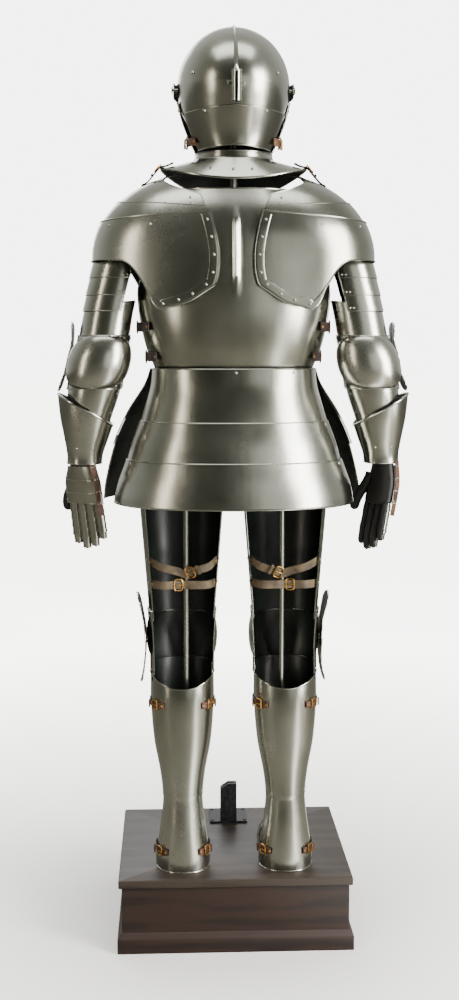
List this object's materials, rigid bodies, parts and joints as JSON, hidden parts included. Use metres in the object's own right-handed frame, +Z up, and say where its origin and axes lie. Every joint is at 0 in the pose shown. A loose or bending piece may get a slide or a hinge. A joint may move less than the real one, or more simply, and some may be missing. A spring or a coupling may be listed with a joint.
{
  "type": "suit of plate armour on a display stand",
  "caption": "Full suit of polished steel plate armour with closed helmet, gauntlets and leather straps, standing on a steel stand and a dark wooden plinth.",
  "frame": {"origin": "centre of the plinth's underside", "axes": "+Z up, the suit faces -Y, +X is the wearer's left"},
  "size_m": [0.7452, 0.5004, 1.949],
  "materials": {
    "steel": "satin polished steel, black inside",
    "strap_leather": "brown strap leather",
    "glove_leather": "black glove leather",
    "iron": "dark painted iron",
    "wood": "dark brown satin varnish"
  },
  "bodies": {
    "root": {"plinth_body": "wood", "plinth_top": "wood", "socket_bracket": "iron", "steel_stand": "steel", "helmet_skull": "steel", "helmet_nape": "steel", "helmet_bevor": "steel", "plume_holder": "steel", "gorget_back": "steel", "gorget_front": "steel", "backplate": "steel", "breastplate": "steel", "culet_lame_1": "steel", "culet_lame_2": "steel", "culet_lame_3": "steel", "fauld": "steel", "tasset_left": "steel", "pauldron_left": "steel", "pauldron_lames_left": "steel", "upper_arm_lames_left": "steel", "upper_cannon_left": "steel", "couter_left": "steel", "lower_cannon_left": "steel", "gauntlet_cuff_left": "steel", "hand_plate_left": "steel", "cuisse_left": "steel", "poleyn_left": "steel", "greave_front_left": "steel", "greave_back_left": "steel", "sabaton_left": "steel", "tasset_right": "steel", "pauldron_right": "steel", "pauldron_lames_right": "steel", "upper_arm_lames_right": "steel", "upper_cannon_right": "steel", "couter_right": "steel", "lower_cannon_right": "steel", "gauntlet_cuff_right": "steel", "hand_plate_right": "steel", "cuisse_right": "steel", "poleyn_right": "steel", "greave_front_right": "steel", "greave_back_right": "steel", "sabaton_right": "steel", "chin_strap_left": "strap_leather", "chin_strap_right": "strap_leather", "shoulder_strap_left": "strap_leather", "shoulder_strap_right": "strap_leather", "side_strap_upper_left": "strap_leather", "side_strap_upper_right": "strap_leather", "side_strap_lower_left": "strap_leather", "side_strap_lower_right": "strap_leather", "thigh_strap_upper_left": "strap_leather", "thigh_strap_upper_right": "strap_leather", "thigh_strap_lower_left": "strap_leather", "thigh_strap_lower_right": "strap_leather", "glove_left": "glove_leather", "glove_right": "glove_leather"},
    "visor": {"helmet_visor": "steel"}
  },
  "joints": [
    {"name": "visor_hinge", "type": "hinge", "parent": "root", "child": "visor", "pos_m": [0, 0.08, 1.818], "axis": [-1, 0, 0], "range_deg": [0, 60]}
  ]
}
